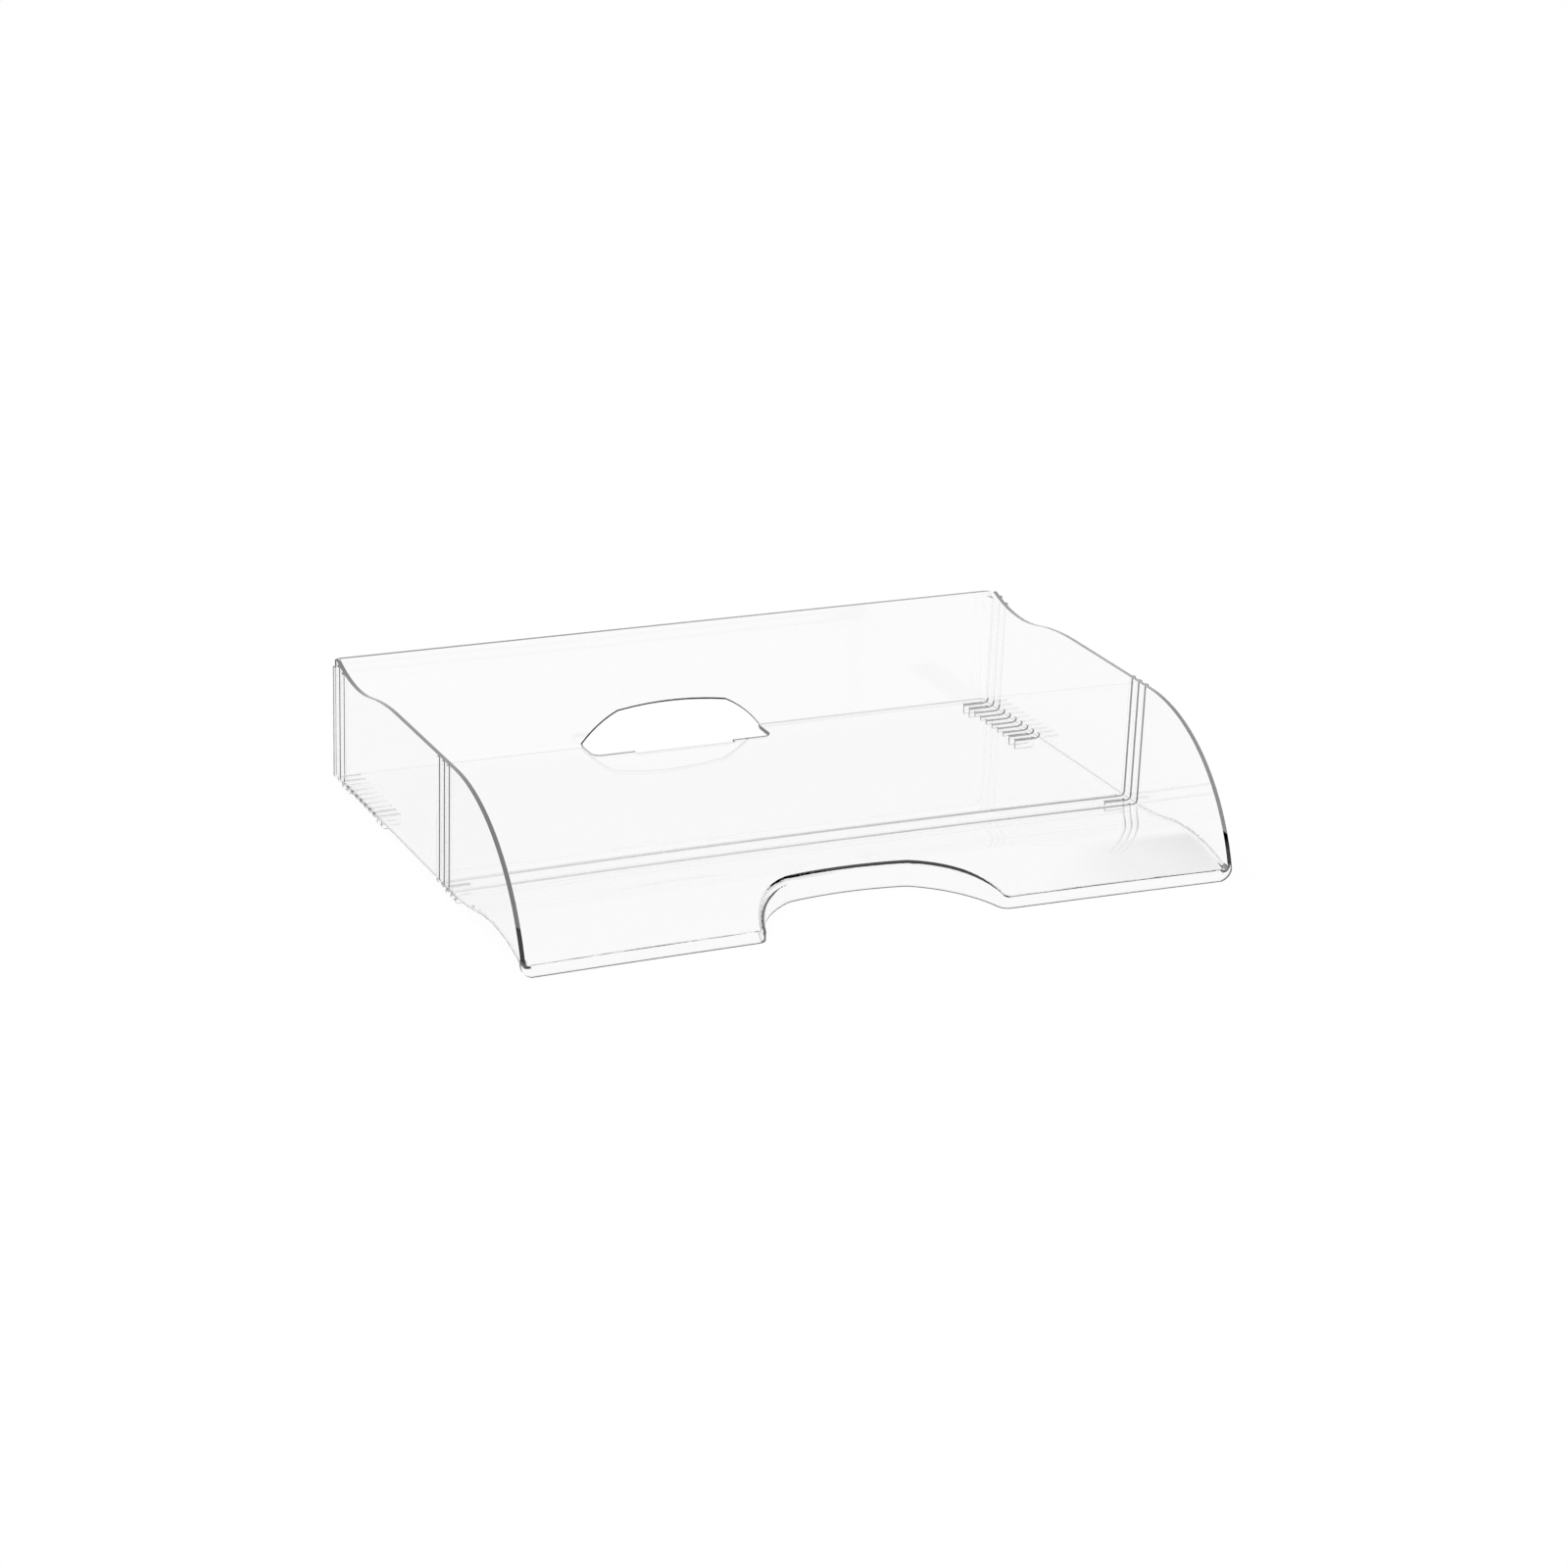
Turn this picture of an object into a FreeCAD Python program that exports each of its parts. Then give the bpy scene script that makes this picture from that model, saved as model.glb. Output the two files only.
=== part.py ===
import FreeCAD, Part
import math
import os
import re
import Sketcher

# A clear one-piece letter tray for landscape A4 and C4 papers, moulded in one shot.
# Millimetres. +Z is up, +Y is the rear, -Y is the open front.
# The origin is on the table, under the middle of the tray.

doc = FreeCAD.newDocument("letter_tray")
dims = doc.addObject("Spreadsheet::Sheet", "dims")

DRIVING = {
    "floor_width": 334.0,  # over the side walls at the underside of the floor
    "wall_lean": 0.3,  # how far each side wall leans out from there to the flat rim
    "depth": 240.0,  # rear face to the ends of the lip
    "rim_height": 63.5,  # table to the flat rim of the side walls
    "rear_height": 62.0,  # table to the top of the rear wall
    "foot_height": 5.0,  # table to the underside of the floor
    "wall": 2.0,
    "floor_thickness": 2.0,
    "corner_radius": 4.5,  # outer edges between the walls
    "floor_radius": 3.5,  # outer edges between the walls and the floor
    "overrun": 3.0,  # how far a cutting shape runs past what it cuts
    # Apron: the front stretch of the floor, which swells up behind the lip
    "lip_height": 5.0,  # table to the top of the lip
    "lip_bow": 3.0,  # how far the middle of the lip is drawn in
    "apron_run": 82.0,  # lip to the flat floor
    "crest_run": 36.0,  # lip to the crest of the apron
    "crest_rise": 4.4,  # crest above the flat floor
    "skirt": 2.0,  # thickness of the skirt under the lip and round the thumb cut-out
    "bend_radius": 3.0,  # outside of the bend from the floor into the skirt
    "bend_inner_radius": 1.0,
    "lip_corner_radius": 6.0,  # lower corners of the lip
    # Side rims
    "front_arc_radius": 84.0,
    "scallop_depth": 5.6,
    "scallop_radius": 80.0,
    "scallop_setback": 34.3,  # rear face to the lowest point
    "scallop_run": 51.0,  # lowest point to the flat rim
    "notch_length": 4.0,  # stacking notch in front of the rear wall
    "notch_depth": 2.5,  # below the top of the rear wall
    # Thumb cut-out in the apron
    "thumb_mouth": 111.0,
    "thumb_slope": 27.5,  # width of each side of the cut-out, from the mouth to the shoulder
    "thumb_shoulder_depth": 38.0,
    "thumb_depth": 40.7,
    "thumb_side_radius": 56.0,
    "thumb_shoulder_radius": 10.0,
    "thumb_mouth_radius": 5.0,
    # Finger opening through the rear wall and the floor
    "finger_width": 91.0,
    "finger_slope": 18.0,  # width of each side of the arch, from the floor to the shoulder
    "finger_shoulder_height": 14.8,  # above the floor
    "finger_height": 17.1,  # above the floor
    "finger_side_radius": 50.0,
    "finger_shoulder_radius": 5.0,
    "finger_flare": 25.0,  # degrees by which the arch widens where it leaves the rear face
    "finger_flare_depth": 1.0,
    "finger_floor_depth": 17.0,  # rear face to the front edge in the floor
    "finger_floor_radius": 4.0,
    "bevel_width": 50.0,  # bevelled stretch of that front edge
    "bevel_run": 3.5,
    "bevel_drop": 1.0,
    # Ribs that register a stack: they run down the walls and turn under the floor as teeth
    "rib_thickness": 2.0,
    "rib_proud": 0.9,
    "rib_pitch": 6.0,
    "tooth_thickness": 1.0,
    "tooth_length": 13.3,  # inwards from the outer face of the wall
    "tooth_inset": 3.2,  # outer face of the wall to the outer end of a tooth
    "tooth_wrap": 3.0,  # how far a tooth's rib turns up the wall, above the underside of the floor
    "short_tooth": 2.6,  # depth of a tooth that stays clear of the table
    "tooth_radius": 1.5,
    "comb_setback": 4.3,  # rear face to the first rib
    "front_rib_setback": 142.0,  # rear face to the first of the front ribs
    "long_rib_lift": 0.5,  # table to the underside of the two ribs that cross the tray
}
COMB_RIBS = 10
FRONT_RIBS = 3
WALL_RIBS = 3  # of the comb, counted from the rear, run up to the rim
FOOT_PAIR = 2  # teeth at each end of the comb that reach the table

DERIVED = {
    "half_floor": "floor_width / 2",
    "draft": "wall_lean / (rim_height - foot_height)",
    "half_base": "half_floor - draft * foot_height",
    "top": "rim_height + overrun",
    "half_top": "half_floor + draft * (top - foot_height)",
    "half_reach": "half_top + rib_proud + overrun",
    "rear": "depth / 2",
    "front": "-depth / 2",
    "rear_inside": "rear - wall",
    "floor_top": "foot_height + floor_thickness",
    "inner_radius": "corner_radius - wall",
    "inner_floor_radius": "floor_radius - floor_thickness",
    "bow_radius": "(half_floor ^ 2 + lip_bow ^ 2) / (2 * lip_bow)",
    "lip_middle": "front + lip_bow",
    "bow_centre": "lip_middle - bow_radius",
    "bow_turn": "2 * asin(half_reach / bow_radius) / 1 deg",
    "apron_start": "lip_middle + apron_run",
    "crest": "lip_middle + crest_run",
    "apron_end": "front - overrun",
    "crest_drop": "floor_top + crest_rise - lip_height",
    "crest_radius": "(crest_run ^ 2 + crest_drop ^ 2) / (2 * crest_drop)",
    "swell_run": "apron_run - crest_run",
    "swell_radii": "(swell_run ^ 2 + crest_rise ^ 2) / (2 * crest_rise)",
    "swell_radius": "swell_radii - crest_radius",
    "swell_share": "swell_radius / swell_radii",
    "apron_end_drop": "crest_radius - sqrt(crest_radius ^ 2 - (crest - apron_end) ^ 2)",
    "front_arc_base": "rim_height - front_arc_radius",
    "front_arc_end": "front + sqrt(front_arc_radius ^ 2 - (lip_height - front_arc_base) ^ 2)",
    "scallop_low": "rim_height - scallop_depth",
    "scallop_middle": "rear - scallop_setback",
    "scallop_front": "scallop_middle - scallop_run",
    "scallop_radii": "(scallop_run ^ 2 + scallop_depth ^ 2) / (2 * scallop_depth)",
    "scallop_share": "scallop_radius / scallop_radii",
    "notch_front": "rear_inside - notch_length",
    "notch_bottom": "rear_height - notch_depth",
    "peak": "scallop_low + scallop_radius - sqrt(scallop_radius ^ 2 - (notch_front - scallop_middle) ^ 2)",
    "thumb_half": "thumb_mouth / 2",
    "thumb_shoulder_half": "thumb_half - thumb_slope",
    "thumb_crown": "thumb_depth - thumb_shoulder_depth",
    "thumb_crown_radius": "(thumb_shoulder_half ^ 2 + thumb_crown ^ 2) / (2 * thumb_crown)",
    "finger_half": "finger_width / 2",
    "finger_shoulder_half": "finger_half - finger_slope",
    "finger_crown": "finger_height - finger_shoulder_height",
    "finger_crown_radius": "(finger_shoulder_half ^ 2 + finger_crown ^ 2) / (2 * finger_crown)",
    "finger_edge": "rear - finger_floor_depth",
    "tooth_end": "half_floor - tooth_length",
}

for row, (alias, value) in enumerate({**DRIVING, **DERIVED}.items(), start=1):
    dims.set(f"A{row}", alias)
    dims.set(f"B{row}", str(value) if alias in DRIVING else f"={value}")
    dims.setAlias(f"B{row}", alias)
doc.recompute()


def size(expression):
    """Value of an expression in the sheet's names."""
    return float(dims.evalExpression(expression))


def bind(target, prop, expression):
    """Ties a property to an expression in the sheet's names."""
    names = "|".join([*DRIVING, *DERIVED])
    target.setExpression(prop, re.sub(rf"\b({names})\b", r"dims.\1", expression))


# Turns of a sketch: across the tray, along it from the side, and on the table
ACROSS = FreeCAD.Rotation(FreeCAD.Vector(1, 0, 0), 90)
ALONG = FreeCAD.Rotation(FreeCAD.Vector(1, 1, 1), 120)
FLAT = FreeCAD.Rotation()


def round_edge(start, end, radius, left_turn):
    """Arc from start to end, and whether it runs from its first point to its second."""
    chord = end - start
    rise = math.sqrt(radius**2 - (chord.Length / 2) ** 2)
    side = FreeCAD.Vector(-chord.y, chord.x, 0).normalize()
    centre = (start + end) / 2 + side * (rise if left_turn else -rise)
    first, last = (start, end) if left_turn else (end, start)
    angles = [math.atan2(p.y - centre.y, p.x - centre.x) for p in (first, last)]
    circle = Part.Circle(centre, FreeCAD.Vector(0, 0, 1), radius)
    return Part.ArcOfCircle(circle, *angles), left_turn


def outline(name, turn, corners):
    """Closed sketch. A corner is (across, up), and (radius, turn) too where a round edge leaves it."""
    sketch = doc.addObject("Sketcher::SketchObject", name)
    sketch.Placement = FreeCAD.Placement(FreeCAD.Vector(), turn)
    points = [FreeCAD.Vector(size(c[0]), size(c[1]), 0) for c in corners]
    ends = []
    for i, corner in enumerate(corners):
        start, end = points[i], points[(i + 1) % len(points)]
        if len(corner) == 2:
            edge, forward = Part.LineSegment(start, end), True
        else:
            edge, forward = round_edge(start, end, size(corner[2]), corner[3] == "left")
        index = sketch.addGeometry(edge, False)
        ends.append((index, 1, 2) if forward else (index, 2, 1))
    for i, (index, _, finish) in enumerate(ends):
        following, begin, _ = ends[(i + 1) % len(ends)]
        sketch.addConstraint(Sketcher.Constraint("Coincident", index, finish, following, begin))
    for (index, begin, _), corner, point in zip(ends, corners, points):
        across = sketch.addConstraint(Sketcher.Constraint("DistanceX", index, begin, point.x))
        bind(sketch, f"Constraints[{across}]", corner[0])
        up = sketch.addConstraint(Sketcher.Constraint("DistanceY", index, begin, point.y))
        bind(sketch, f"Constraints[{up}]", corner[1])
        if len(corner) > 2:
            radius = sketch.addConstraint(Sketcher.Constraint("Radius", index, size(corner[2])))
            bind(sketch, f"Constraints[{radius}]", corner[2])
    return sketch


def prism(name, base, length, both_ways=False):
    """The outline drawn out square to its plane."""
    solid = doc.addObject("Part::Extrusion", name)
    solid.Base = base
    solid.DirMode = "Custom"
    solid.Dir = base.Placement.Rotation.multVec(FreeCAD.Vector(0, 0, 1))
    solid.Solid = True
    solid.Symmetric = both_ways
    bind(solid, "LengthFwd", length)
    return solid


def bowed(name, base):
    """The outline swept across the tray on the long arc of the lip."""
    solid = doc.addObject("Part::Revolution", name)
    solid.Source = base
    solid.Axis = FreeCAD.Vector(0, 0, 1)
    solid.Solid = True
    solid.Symmetric = True
    bind(solid, "Base.y", "bow_centre")
    bind(solid, "Angle", "bow_turn")
    return solid


def box(name, sizes, corner):
    """Box of three sizes from its lowest corner."""
    solid = doc.addObject("Part::Box", name)
    for prop, expression in zip(("Length", "Width", "Height"), sizes):
        bind(solid, prop, expression)
    for axis, expression in zip("xyz", corner):
        bind(solid, f"Placement.Base.{axis}", expression)
    return solid


def joined(name, shapes):
    solid = doc.addObject("Part::MultiFuse", name)
    solid.Shapes = shapes
    return solid


def shared(name, shapes):
    solid = doc.addObject("Part::MultiCommon", name)
    solid.Shapes = shapes
    return solid


def cut(name, base, tool):
    solid = doc.addObject("Part::Cut", name)
    solid.Base = base
    solid.Tool = tool
    return solid


def rounded(name, base, radius_of):
    """Rounds each edge of base for which radius_of(edge) gives a radius."""
    doc.recompute()
    radii = [(i, radius_of(edge)) for i, edge in enumerate(base.Shape.Edges, start=1)]
    solid = doc.addObject("Part::Fillet", name)
    solid.Base = base
    solid.Edges = [(i, r, r) for i, r in radii if r]
    return solid


def middle(edge):
    return edge.valueAt((edge.FirstParameter + edge.LastParameter) / 2)


def is_upright(edge):
    first, last = edge.Vertexes[0].Point, edge.Vertexes[-1].Point
    return math.hypot(first.x - last.x, first.y - last.y) < size("wall / 100") < abs(first.z - last.z)


def section(name, inset, bottom, rounding=None):
    """Outline across the tray between the two drafted walls, moved in by inset."""
    low = f"half_base + draft * ({bottom}) - ({inset})"
    high = f"half_top - ({inset})"
    if rounding is None:
        corners = [(f"-({low})", bottom), (low, bottom)]
    else:
        above = f"{bottom} + {rounding}"
        wide = f"{low} + draft * ({rounding})"
        inner = f"{wide} - ({rounding})"
        corners = [(f"-({wide})", above, rounding, "left"), (f"-({inner})", bottom),
                   (inner, bottom, rounding, "left"), (wide, above)]
    return outline(name, ACROSS, corners + [(high, "top"), (f"-({high})", "top")])


def floor_line(lift):
    """The floor from the rear to past the lip, as corners seen from the side, raised by lift."""
    flat = f"foot_height + {lift}"
    turn = "apron_start - swell_run * swell_share"
    return [
        ("rear + overrun", flat),
        ("apron_start", flat, "swell_radius", "right"),
        (turn, f"{flat} + crest_rise * swell_share", "crest_radius", "left"),
        ("apron_end", f"{flat} + crest_rise - apron_end_drop"),
    ]


# The tray's outer form and its hollow
below_floor = bowed("below_floor", outline("below_floor_side", ALONG, floor_line("0") + [
    ("apron_end", "-overrun"), ("rear + overrun", "-overrun")]))
above_floor = bowed("above_floor", outline("above_floor_side", ALONG, floor_line("floor_thickness") + [
    ("apron_end", "top + overrun"), ("rear + overrun", "top + overrun")]))

blank_section = section("blank_section", "0", "0")
bind(blank_section, "Placement.Base.y", "rear")
blank = cut("blank", prism("blank_prism", blank_section, "depth + overrun"), below_floor)
hollow_section = section("hollow_section", "wall", "0")
bind(hollow_section, "Placement.Base.y", "rear_inside")
hollow = shared("hollow", [prism("hollow_prism", hollow_section, "depth + overrun"), above_floor])


def wall_edges(inset, radius, upright):
    """Edges of a form between its walls where upright, else between its walls and its floor."""
    def radius_of(edge):
        point = middle(edge)
        near = size("wall / 4")
        at_side = abs(point.x) > size("half_base") - inset - near
        at_rear = point.y > size("rear") - inset - near
        at_top = point.z > size("top") - near
        at_front = edge.BoundBox.YMax < size("front") + near
        stands = edge.BoundBox.ZLength > size("rear_height / 2")
        return radius if (at_side or at_rear) and stands == upright and not at_top and not at_front else None
    return radius_of


def rounded_form(name, base, inset, corner, floor):
    """Rounds the upright edges at the rear, then the edges along the floor."""
    corners = rounded(f"{name}_corners", base, wall_edges(inset, corner, True))
    return rounded(f"{name}_form", corners, wall_edges(inset, floor, False))


outer_form = rounded_form("outer", blank, 0, size("corner_radius"), size("floor_radius"))
inner_form = rounded_form("inner", hollow, size("wall"), size("inner_radius"), size("inner_floor_radius"))
shell = cut("shell", outer_form, inner_form)

# Plan of the front edge: the bowed lip and the thumb cut-out
LIP_AT_MOUTH = "bow_centre + sqrt(bow_radius ^ 2 - thumb_half ^ 2)"
LIP_AT_SIDE = "bow_centre + sqrt(bow_radius ^ 2 - half_reach ^ 2)"
SHOULDER = "lip_middle + thumb_shoulder_depth"
plan = outline("plan", FLAT, [
    ("-half_reach", LIP_AT_SIDE, "bow_radius", "right"),
    ("-thumb_half", LIP_AT_MOUTH, "thumb_side_radius", "right"),
    ("-thumb_shoulder_half", SHOULDER, "thumb_crown_radius", "right"),
    ("thumb_shoulder_half", SHOULDER, "thumb_side_radius", "right"),
    ("thumb_half", LIP_AT_MOUTH, "bow_radius", "right"),
    ("half_reach", LIP_AT_SIDE),
    ("half_reach", "rear + overrun"),
    ("-half_reach", "rear + overrun"),
])
inner_plan = doc.addObject("Part::Offset2D", "inner_plan")
inner_plan.Source = plan
inner_plan.Join = "Intersection"
bind(inner_plan, "Value", "-skirt")


def thumb_edges(mouth_radius, shoulder_radius):
    """Upright edges at the mouth and the shoulders of the thumb cut-out."""
    def radius_of(edge):
        point = middle(edge)
        if not is_upright(edge) or abs(point.x) > size("half_base"):
            return None
        at_mouth = abs(point.x) > size("(thumb_half + thumb_shoulder_half) / 2")
        return mouth_radius if at_mouth else shoulder_radius
    return radius_of


footprint = rounded("footprint", prism("plan_prism", plan, "top"), thumb_edges(
    size("thumb_mouth_radius"), size("thumb_shoulder_radius")))
behind_skirt = rounded("behind_skirt", prism("inner_plan_prism", inner_plan, "top"), thumb_edges(
    size("thumb_mouth_radius - skirt"), size("thumb_shoulder_radius + skirt")))

# Skirt: hangs from the lip and round the thumb cut-out down to the table
skirt_section = section("skirt_section", "0", "0", "lip_corner_radius")
bind(skirt_section, "Placement.Base.y", "rear")
skirt_blank = shared("skirt_blank", [
    prism("skirt_prism", skirt_section, "depth + overrun"),
    cut("skirt_band", footprint, behind_skirt),
])
skirt = cut("skirt_form", skirt_blank, inner_form)


def bend_edges(radius, front_depth):
    """Upper edges along the lip and round the thumb cut-out."""
    def radius_of(edge):
        point = middle(edge)
        at_front = point.y < size(f"{front_depth} + overrun") and abs(point.x) < size("half_base")
        return radius if at_front and point.z > size("skirt") and not is_upright(edge) else None
    return radius_of


# Bend: between the walls, the floor turns down into the skirt at one thickness
THUMB_END = "lip_middle + thumb_depth"
bent_top = rounded("bent_top", cut("under_top", footprint, above_floor), bend_edges(
    size("bend_radius"), THUMB_END))
bent_under = rounded("bent_under", shared("under_floor", [behind_skirt, below_floor]), bend_edges(
    size("bend_inner_radius"), f"{THUMB_END} + skirt"))
bend_half = "half_base - corner_radius"
bend_span = box("bend_span", (f"2 * ({bend_half})", "depth / 2", "top"),
                (f"-({bend_half})", "front - overrun", "0"))
bent_lip = cut("bent_lip", shared("bent_block", [bent_top, bend_span]), bent_under)
trimmed_shell = shared("trimmed_shell", [shell, footprint])
bowl = cut("bowl", joined("sharp_bowl", [trimmed_shell, skirt]), bend_span)

# Ribs, and the teeth that hang from them
low_ribs = []
teeth = []
for i in range(COMB_RIBS):
    reaches_table = i < FOOT_PAIR or i >= COMB_RIBS - FOOT_PAIR
    low = "0" if reaches_table else "foot_height - short_tooth"
    high = "top" if i < WALL_RIBS else "foot_height + tooth_wrap"
    place = f"rear - comb_setback - {i} * rib_pitch"
    for side, inner in (("left", "-half_reach"), ("right", "tooth_end")):
        sizes = ("half_reach - tooth_end", "rib_thickness", high)
        low_ribs.append(box(f"{side}_rib_{i + 1}", sizes, (inner, f"{place} - rib_thickness / 2", "0")))
        sizes = ("half_reach - tooth_end", "tooth_thickness", f"foot_height + tooth_wrap - ({low})")
        teeth.append(box(f"{side}_tooth_{i + 1}", sizes, (inner, f"{place} - tooth_thickness / 2", low)))
for i in range(FRONT_RIBS):
    crosses_tray = i in (0, FRONT_RIBS - 1)
    place = f"rear - front_rib_setback + lip_bow - {i} * rib_pitch"
    tooth_low = "long_rib_lift" if crosses_tray else "0"
    for group, name, low in ((low_ribs, "rib", "0"), (teeth, "tooth", tooth_low)):
        half = f"{name}_thickness / 2"
        rib = bowed(f"front_{name}_{i + 1}", outline(f"front_{name}_side_{i + 1}", ALONG, [
            (f"{place} - {half}", low), (f"{place} + {half}", low),
            (f"{place} + {half}", "top"), (f"{place} - {half}", "top")]))
        if not crosses_tray:
            sizes = ("2 * tooth_end", "depth", "floor_top")
            gap = box(f"between_{name}_ends_{i + 1}", sizes, ("-tooth_end", "front", "0"))
            rib = cut(f"front_{name}_ends_{i + 1}", rib, gap)
        group.append(rib)
rib_section = section("rib_section", "-rib_proud", "foot_height - rib_proud", "floor_radius + rib_proud")
bind(rib_section, "Placement.Base.y", "rear")
tooth_section = section("tooth_section", "tooth_inset", "0", "tooth_radius")
bind(tooth_section, "Placement.Base.y", "rear")
rib_blank = joined("rib_blank", [
    shared("rib_run", [prism("rib_prism", rib_section, "depth + overrun"), joined("low_ribs", low_ribs)]),
    shared("tooth_run", [prism("tooth_prism", tooth_section, "depth + overrun"), joined("teeth", teeth)]),
])
ribs = cut("rib_form", rib_blank, inner_form)

# Rim: front arcs, flat rim, rear scallops and stacking notches
above_rim = prism("above_rim", outline("rim_side", ALONG, [
    ("front - overrun", "lip_height"),
    ("front", "lip_height", "front_arc_radius", "right"),
    ("front_arc_end", "rim_height"),
    ("scallop_front", "rim_height", "scallop_radii - scallop_radius", "right"),
    ("scallop_middle - scallop_run * scallop_share", "scallop_low + scallop_depth * scallop_share",
     "scallop_radius", "left"),
    ("notch_front", "peak"),
    ("notch_front", "notch_bottom"),
    ("rear_inside", "notch_bottom"),
    ("rear_inside", "rear_height"),
    ("rear + overrun", "rear_height"),
    ("rear + overrun", "top + overrun"),
    ("front - overrun", "top + overrun"),
]), "2 * half_reach", both_ways=True)

# Finger opening: an arched gap in the rear wall that runs on into the floor
finger_outline = outline("finger_outline", ACROSS, [
    ("-finger_half", "0"),
    ("finger_half", "0"),
    ("finger_half", "floor_top", "finger_side_radius", "left"),
    ("finger_shoulder_half", "floor_top + finger_shoulder_height", "finger_crown_radius", "left"),
    ("-finger_shoulder_half", "floor_top + finger_shoulder_height", "finger_side_radius", "left"),
    ("-finger_half", "floor_top"),
])
bind(finger_outline, "Placement.Base.y", "rear - finger_flare_depth")
finger_front = prism("finger_front", finger_outline, "corner_radius")
finger_back = prism("finger_back", finger_outline, "finger_flare_depth + overrun")
finger_back.Reversed = True
bind(finger_back, "TaperAngle", "finger_flare")


def finger_shoulders(edge):
    point = middle(edge)
    runs_along = edge.BoundBox.YLength > size("wall")
    at_shoulder = abs(point.z - size("floor_top + finger_shoulder_height")) < size("finger_crown")
    return size("finger_shoulder_radius") if runs_along and at_shoulder else None


finger_arch = [
    rounded("finger_arch_front", finger_front, finger_shoulders),
    rounded("finger_arch_back", finger_back, finger_shoulders),
]
finger_box = box("finger_box", ("finger_width", "finger_floor_depth - finger_flare_depth", "floor_top"),
                 ("-finger_half", "finger_edge", "0"))


def finger_corners(edge):
    at_edge = abs(middle(edge).y - size("finger_edge")) < size("wall / 100")
    return size("finger_floor_radius") if is_upright(edge) and at_edge else None


finger_floor = rounded("finger_floor", finger_box, finger_corners)
bevel = prism("bevel", outline("bevel_side", ALONG, [
    ("finger_edge - bevel_run", "floor_top"),
    ("finger_edge + overrun", "floor_top - bevel_drop * (bevel_run + overrun) / bevel_run"),
    ("finger_edge + overrun", "floor_top"),
]), "bevel_width", both_ways=True)

# The moulding
moulding = joined("moulding", [bowl, bent_lip, ribs])
tray = cut("letter_tray", moulding, joined("openings", [above_rim, *finger_arch, finger_floor, bevel]))
tray.Label = "letter_tray"
tray.Refine = True
doc.recompute()

SUBPARTS = [tray]

failed = [o.Name for o in doc.Objects if "Invalid" in o.State or "Error" in o.State]
for part in SUBPARTS:
    if part.Shape.isNull() or not part.Shape.isValid() or len(part.Shape.Solids) != 1:
        failed.append(part.Label)
if failed:
    raise RuntimeError("failed: " + ", ".join(failed))

os.makedirs("parts", exist_ok=True)
for part in SUBPARTS:
    part.Shape.exportStep(f"parts/{part.Label}.step")
    bounds = part.Shape.optimalBoundingBox()
    lengths = (bounds.XLength, bounds.YLength, bounds.ZLength)
    print(part.Label, f"{part.Shape.Volume:.1f} mm3", *(f"{length:.2f}" for length in lengths))
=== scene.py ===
import math

import bpy
from mathutils import Matrix, Vector


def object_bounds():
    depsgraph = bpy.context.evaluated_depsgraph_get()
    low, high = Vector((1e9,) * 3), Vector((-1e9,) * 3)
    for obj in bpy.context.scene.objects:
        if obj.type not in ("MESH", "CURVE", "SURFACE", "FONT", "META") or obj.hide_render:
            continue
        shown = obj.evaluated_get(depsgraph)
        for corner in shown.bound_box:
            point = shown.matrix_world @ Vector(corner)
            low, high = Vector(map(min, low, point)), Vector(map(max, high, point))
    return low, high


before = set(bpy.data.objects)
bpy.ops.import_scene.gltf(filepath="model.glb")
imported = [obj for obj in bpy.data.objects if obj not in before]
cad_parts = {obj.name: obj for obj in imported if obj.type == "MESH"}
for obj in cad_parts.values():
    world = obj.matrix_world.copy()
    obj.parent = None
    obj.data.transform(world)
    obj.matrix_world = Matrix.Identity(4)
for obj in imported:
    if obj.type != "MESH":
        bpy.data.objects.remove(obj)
cad_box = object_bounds()
scene = bpy.context.scene
scene.view_settings.view_transform = "Standard"

# Camera: the photograph's viewpoint, fitted to the tray's ribs, rims and lip
AZIMUTH, ELEVATION, ROLL = (math.radians(a) for a in (-25.123, 20.073, 2.148))
TARGET = Vector((0.02493, 0.04403, 0.0051))
DISTANCE = 1.8873
SENSOR_MM, LENS_MM = 36.0, 94.243
FARTHEST_SEEN = 100

# Plastic: what all its finishes share
REFRACTION = 1.585
DEPTH_COLOUR, DEPTH_DENSITY = (0.6, 0.61, 0.605, 1), 40
HAZE_SCALE, HAZE_DETAIL = 35, 4
FLOW_SCALE, FLOW_DETAIL = 18, 1
FLOW_STRENGTH, FLOW_HEIGHT = 0.12, 0.0006

# Finishes: name, tones at the tray's left and right end, clearness, gloss, least and most
# roughness. All but the first carry painted shade: their dark tones and low clearness stand in for
# the dark lines that refraction draws along edges, ribs and rims, and a tone that changes from left
# to right is painted shade that is darker towards one end
FINISHES = (
    ("clear_plastic", (1, 1), 1, 0.5, (0.004, 0.02)),
    ("clear_plastic_matt_painted_shade", (0.28, 0.28), 0.2, 0, (0.25, 0.4)),
    ("clear_plastic_half_matt_painted_shade", (0.48, 0.85), 0.7, 0.5, (0.15, 0.3)),
    ("clear_plastic_cross_rib_painted_shade", (1, 0.1), 0.7, 0.5, (0.15, 0.3)),
    ("clear_plastic_soft_painted_shade", (0.95, 0.95), 0.88, 0.5, (0.06, 0.14)),
)
GLOSS, MATT_PAINTED_SHADE, HALF_MATT_PAINTED_SHADE, CROSS_RIB_PAINTED_SHADE, SOFT_PAINTED_SHADE = range(len(FINISHES))
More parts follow.
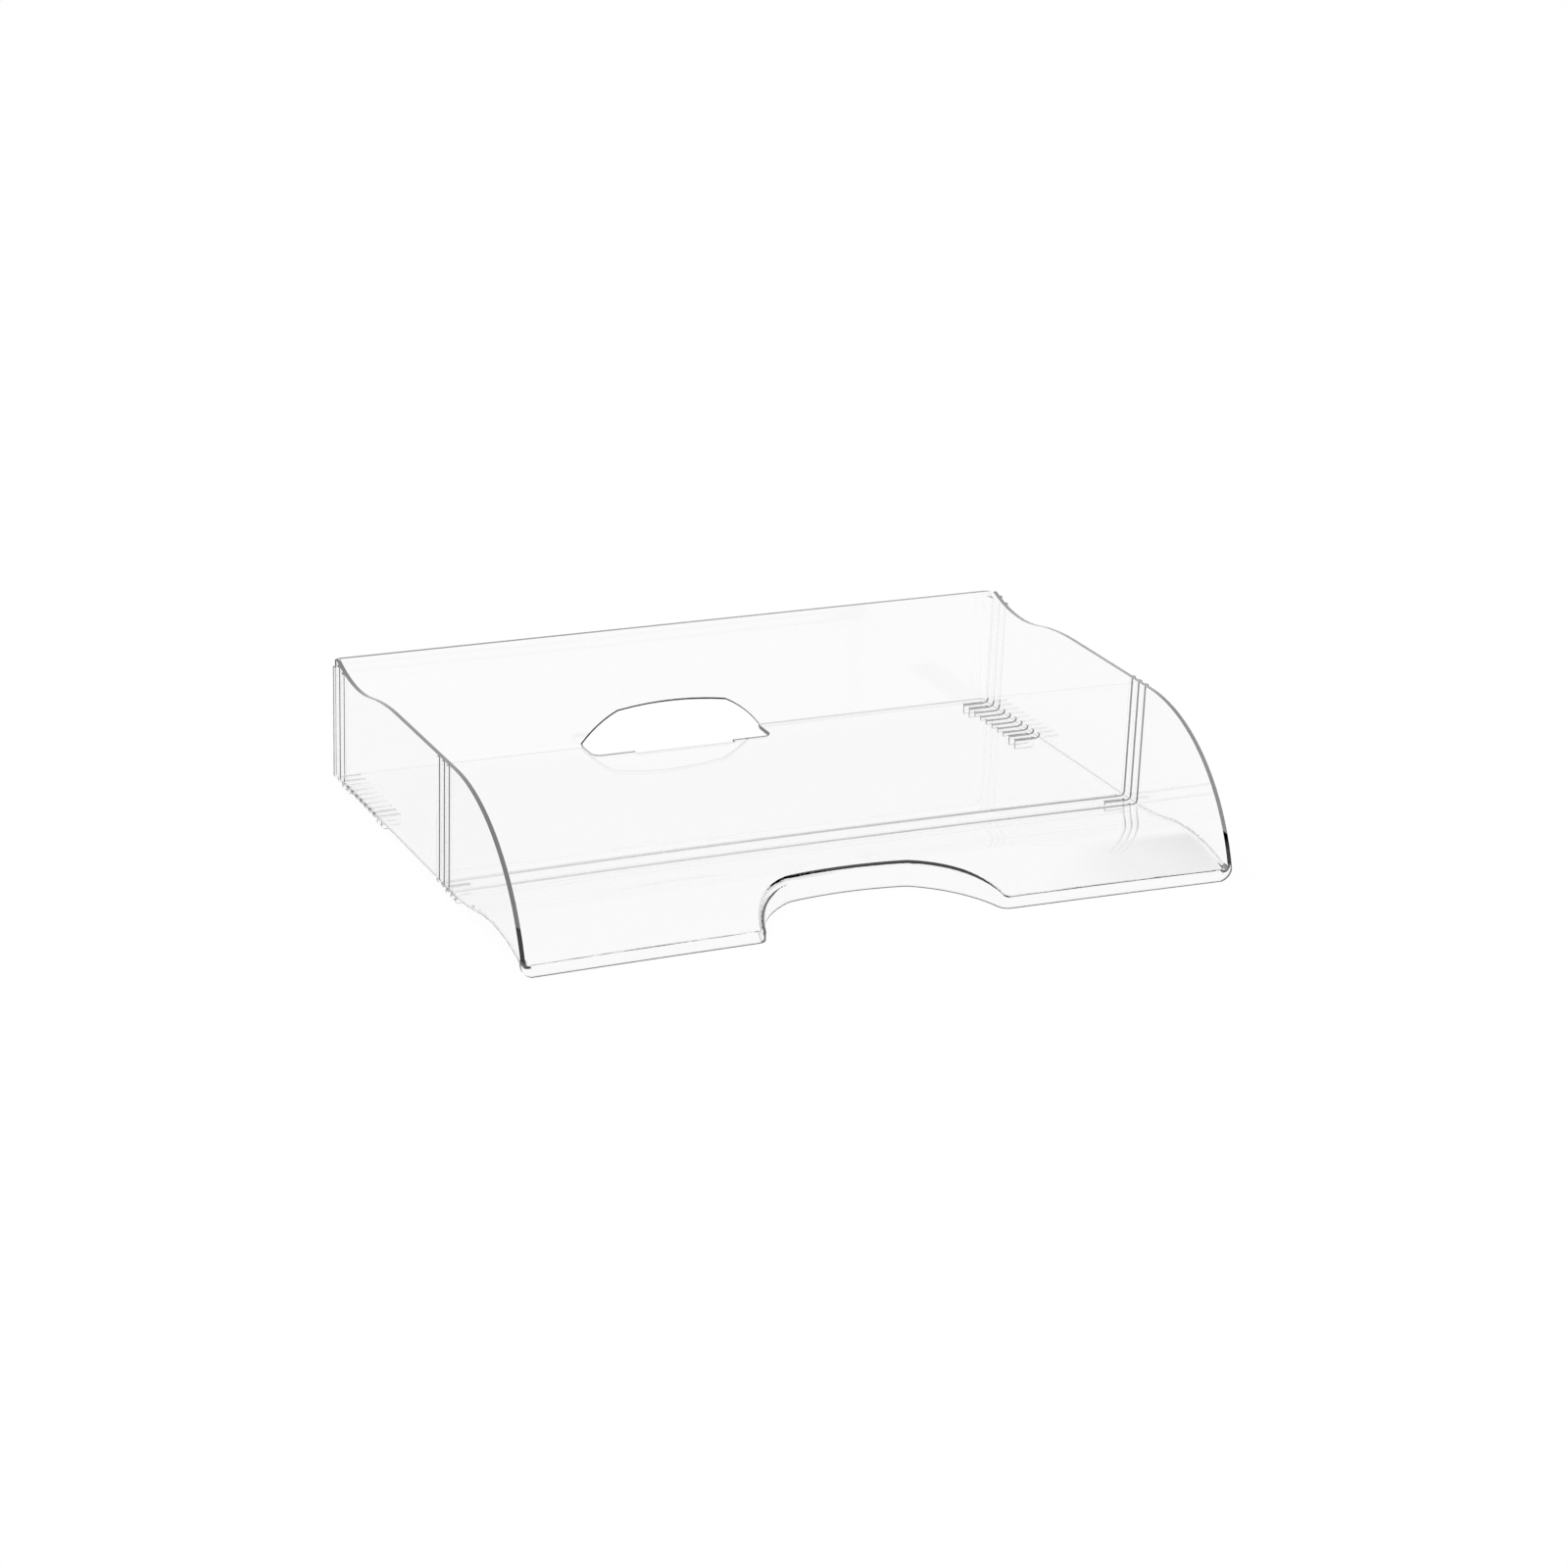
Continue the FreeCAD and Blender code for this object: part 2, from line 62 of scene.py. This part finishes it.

# Places of the faces that are less than glossy and painted darker, painted shade
REST_TOP = 0.0003
LIP_CORNER_REAR, LIP_CORNER_TOP, LIP_CORNER_INNER = -0.115, 0.0065, 0.155
OPENING_FRONT, OPENING_REAR, OPENING_TOP, OPENING_HALF = 0.1, 0.119, 0.007, 0.047
BEVEL_FRONT, BEVEL_REAR, BEVEL_HALF = 0.0995, 0.103, 0.026
RIB_BOTTOM, WALL_OUTER = 0.00405, 0.166
FRONT_RIBS_FRONT, FRONT_RIBS_REAR = -0.045, 0
REAR_RIBS_FRONT, REAR_RIBS_REAR, REAR_RIBS_TOP, REAR_RIBS_INNER = 0.05, 0.117, 0.0095, 0.15
RIM_BOTTOM = 0.02
ROUNDING_START, ROUNDING_TOP, ROUNDING_REAR, ROUNDING_RIGHT = 0.046, 0.0135, 0.116, 0.161

# How those faces are turned: parts of their unit normals along an axis
ALONG = 0.9
ALMOST_FLAT = 0.99
HALFWAY = 0.5
LEANING = 0.3
TURNED = 0.2
UPRIGHT = 0.1

# Floor: just under the tray, so that no two faces lie in one plane
FLOOR_HALF, FLOOR_LEVEL = 40, -0.0002
FLOOR_COLOUR = (0.95, 0.95, 0.95, 1)
FLOOR_OWN_WHITE = 0.97

# Studio: edges of its dark part, as parts of a unit direction, and the lamp
DARK_SLANT = 0.035
DARK_TO_RIGHT = 0.474, 0.508
DARK_UP = 0.345, 0.45
LAMP_PLACE, LAMP_AIM = Vector((-0.8, 0.6, 2.2)), Vector((0, 0, 0))
LAMP_WIDTH, LAMP_DEPTH, LAMP_WATTS = 1.8, 1.2, 28


class Nodes:
    """Adds and links the nodes of one tree."""

    def __init__(self, tree):
        self.tree = tree
        tree.nodes.clear()

    def add(self, kind):
        return self.tree.nodes.new(kind)

    def link(self, source, target):
        self.tree.links.new(source, target)

    def math(self, operation, *terms):
        node = self.add("ShaderNodeMath")
        node.operation = operation
        for socket, term in zip(node.inputs, terms):
            if isinstance(term, (int, float)):
                socket.default_value = term
            else:
                self.link(term, socket)
        return node.outputs[0]

    def ramp(self, value, low, high):
        """Rises from 0 at low to 1 at high."""
        node = self.add("ShaderNodeMapRange")
        node.inputs["From Min"].default_value = low
        node.inputs["From Max"].default_value = high
        self.link(value, node.inputs["Value"])
        return node.outputs[0]

    def noise(self, place, scale, detail):
        node = self.add("ShaderNodeTexNoise")
        node.inputs["Scale"].default_value = scale
        node.inputs["Detail"].default_value = detail
        self.link(place, node.inputs["Vector"])
        return node.outputs["Fac"]

    def axes(self, place):
        node = self.add("ShaderNodeSeparateXYZ")
        self.link(place, node.inputs[0])
        return node.outputs


def add_camera():
    back = Vector((
        math.sin(AZIMUTH) * math.cos(ELEVATION),
        -math.cos(AZIMUTH) * math.cos(ELEVATION),
        math.sin(ELEVATION),
    ))
    level = Vector((0, 0, 1)).cross(back).normalized()
    upright = back.cross(level)
    right = level * math.cos(ROLL) + upright * math.sin(ROLL)
    up = upright * math.cos(ROLL) - level * math.sin(ROLL)
    camera = bpy.data.objects.new("camera", bpy.data.cameras.new("camera"))
    camera.data.sensor_width = SENSOR_MM
    camera.data.lens = LENS_MM
    camera.data.clip_end = FARTHEST_SEEN
    turn = Matrix((right, up, back)).transposed().to_4x4()
    camera.matrix_world = Matrix.Translation(TARGET + back * DISTANCE) @ turn
    scene.collection.objects.link(camera)
    scene.camera = camera


def new_material(name):
    material = bpy.data.materials.new(name)
    material.use_nodes = True
    return material, Nodes(material.node_tree)


def clear_plastic(name, tones_with_painted_shade, clearness, gloss, roughness):
    """Clear injection-moulded polystyrene: faintly wavy from the mould, grey in depth."""
    material, n = new_material(name)
    out = n.add("ShaderNodeOutputMaterial")
    shader = n.add("ShaderNodeBsdfPrincipled")
    shader.inputs["Transmission Weight"].default_value = clearness
    shader.inputs["IOR"].default_value = REFRACTION
    shader.inputs["Specular IOR Level"].default_value = gloss
    n.link(shader.outputs[0], out.inputs["Surface"])
    place = n.add("ShaderNodeTexCoord").outputs["Object"]

    # A tone that changes from the left end to the right is painted shade, darker towards one end
    left, right = tones_with_painted_shade
    if left == right:
        shader.inputs["Base Color"].default_value = (left, left, left, 1)
    else:
        painted_shade_share = n.ramp(n.axes(place)["X"], cad_box[0][0], cad_box[1][0])
        painted_shade_tone = n.math("MULTIPLY_ADD", painted_shade_share, right - left, left)
        n.link(painted_shade_tone, shader.inputs["Base Color"])

    rough = n.add("ShaderNodeMapRange")
    rough.inputs["To Min"].default_value, rough.inputs["To Max"].default_value = roughness
    n.link(n.noise(place, HAZE_SCALE, HAZE_DETAIL), rough.inputs["Value"])
    n.link(rough.outputs[0], shader.inputs["Roughness"])

    bump = n.add("ShaderNodeBump")
    bump.inputs["Strength"].default_value = FLOW_STRENGTH
    bump.inputs["Distance"].default_value = FLOW_HEIGHT
    n.link(n.noise(place, FLOW_SCALE, FLOW_DETAIL), bump.inputs["Height"])
    n.link(bump.outputs[0], shader.inputs["Normal"])

    depth = n.add("ShaderNodeVolumeAbsorption")
    depth.inputs["Color"].default_value = DEPTH_COLOUR
    depth.inputs["Density"].default_value = DEPTH_DENSITY
    n.link(depth.outputs[0], out.inputs["Volume"])
    return material


def finish_and_painted_shade_of(face):
    """Finish of a face: rib sides, narrow edges, rims and a strip of the rounding get rougher,
    darker and less clear finishes, painted shade for the dark lines that refraction draws in clear
    plastic.
    """
    (x, y, z), normal = face.center, face.normal

    # Edges that rest on the table: dark matt faces, a painted contact shadow
    if z < REST_TOP and normal.z < -ALONG:
        return MATT_PAINTED_SHADE

    # Lower corners of the lip: dark matt faces, painted shade
    if y < LIP_CORNER_REAR and z < LIP_CORNER_TOP and abs(x) > LIP_CORNER_INNER:
        if abs(normal.y) < LEANING:
            return MATT_PAINTED_SHADE

    # Edge of the floor at the finger opening, and the bevel in front of it: darker faces, painted
    # shade along the opening's edge
    if OPENING_FRONT < y < OPENING_REAR and z < OPENING_TOP and abs(x) < OPENING_HALF:
        if abs(normal.z) < UPRIGHT:
            return MATT_PAINTED_SHADE
    if BEVEL_FRONT < y < BEVEL_REAR and abs(x) < BEVEL_HALF and ALONG < normal.z < ALMOST_FLAT:
        return HALF_MATT_PAINTED_SHADE

    # Sides of the ribs that look to the front: dark faces, painted shade for the rib lines; the
    # cross ribs' painted shade grows darker towards the right
    if z > RIB_BOTTOM and normal.y < -ALONG:
        if FRONT_RIBS_FRONT < y < FRONT_RIBS_REAR:
            if x > WALL_OUTER:
                return MATT_PAINTED_SHADE
            return CROSS_RIB_PAINTED_SHADE if x > -WALL_OUTER else GLOSS
        if REAR_RIBS_FRONT < y < REAR_RIBS_REAR and z < REAR_RIBS_TOP and x > REAR_RIBS_INNER:
            return MATT_PAINTED_SHADE

    # Rims of the walls: darker half-matt tops, painted shade for the rim lines, darker towards the
    # left
    if z > RIM_BOTTOM and normal.z > LEANING:
        return HALF_MATT_PAINTED_SHADE

    # Middle strip of the rounding between the floor and the rear and right walls: a hazier strip,
    # painted shade for a dark line in the rounding
    if x > ROUNDING_START and z < ROUNDING_TOP and HALFWAY < normal.z < ALONG:
        if y > ROUNDING_REAR and normal.y < -TURNED:
            return SOFT_PAINTED_SHADE
        if x > ROUNDING_RIGHT and normal.x < -TURNED:
            return SOFT_PAINTED_SHADE
    return GLOSS


def finish_tray():
    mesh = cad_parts["letter_tray"].data
    mesh.materials.clear()
    for finish in FINISHES:
        mesh.materials.append(clear_plastic(*finish))
    # Rib sides, rims, narrow edges and the rounding strip get the finishes that carry painted shade
    for face in mesh.polygons:
        face.material_index = finish_and_painted_shade_of(face)


def white_floor():
    """White table: mostly its own white, the rest left to the lamp so that it keeps a shadow."""
    material, n = new_material("white_floor")
    out = n.add("ShaderNodeOutputMaterial")
    path = n.add("ShaderNodeLightPath").outputs
    mirrored = n.math("MAXIMUM", path["Is Glossy Ray"], path["Is Transmission Ray"])
    seen = n.math("MAXIMUM", path["Is Camera Ray"], mirrored)
    paper = n.add("ShaderNodeBsdfDiffuse")
    paper.inputs["Color"].default_value = FLOOR_COLOUR
    glow = n.add("ShaderNodeEmission")
    glow.inputs["Strength"].default_value = 1
    mix = n.add("ShaderNodeMixShader")
    n.link(n.math("MULTIPLY", seen, FLOOR_OWN_WHITE), mix.inputs["Fac"])
    n.link(paper.outputs[0], mix.inputs[1])
    n.link(glow.outputs[0], mix.inputs[2])
    n.link(mix.outputs[0], out.inputs["Surface"])
    return material


def add_floor():
    mesh = bpy.data.meshes.new("floor")
    turns = ((-1, -1), (1, -1), (1, 1), (-1, 1))
    corners = [(FLOOR_HALF * x, FLOOR_HALF * y, FLOOR_LEVEL) for x, y in turns]
    mesh.from_pydata(corners, [], [(0, 1, 2, 3)])
    mesh.materials.append(white_floor())
    floor = bpy.data.objects.new("floor", mesh)
    scene.collection.objects.link(floor)


def add_world():
    """A white studio, with a dark part of the room above the table and to its right."""
    world = bpy.data.worlds.new("studio")
    world.use_nodes = True
    scene.world = world
    n = Nodes(world.node_tree)
    out = n.add("ShaderNodeOutputWorld")
    sky = n.add("ShaderNodeBackground")
    way = n.axes(n.add("ShaderNodeTexCoord").outputs["Generated"])
    slant = n.math("MULTIPLY", way["Z"], DARK_SLANT)
    to_right = n.ramp(n.math("ADD", way["X"], slant), *DARK_TO_RIGHT)
    dark = n.math("MULTIPLY", to_right, n.ramp(way["Z"], *DARK_UP))
    n.link(n.math("SUBTRACT", 1, dark), sky.inputs["Color"])
    n.link(sky.outputs[0], out.inputs["Surface"])


def add_lamp():
    """A large soft lamp that isn't seen in the plastic, neither mirrored nor through it."""
    light = bpy.data.lights.new("softbox", "AREA")
    light.shape = "RECTANGLE"
    light.size, light.size_y = LAMP_WIDTH, LAMP_DEPTH
    light.energy = LAMP_WATTS
    lamp = bpy.data.objects.new("softbox", light)
    lamp.location = LAMP_PLACE
    lamp.rotation_euler = (LAMP_AIM - LAMP_PLACE).to_track_quat("-Z", "Y").to_euler()
    lamp.visible_glossy = False
    lamp.visible_transmission = False
    scene.collection.objects.link(lamp)


finish_tray()
add_camera()
add_floor()
add_world()
add_lamp()
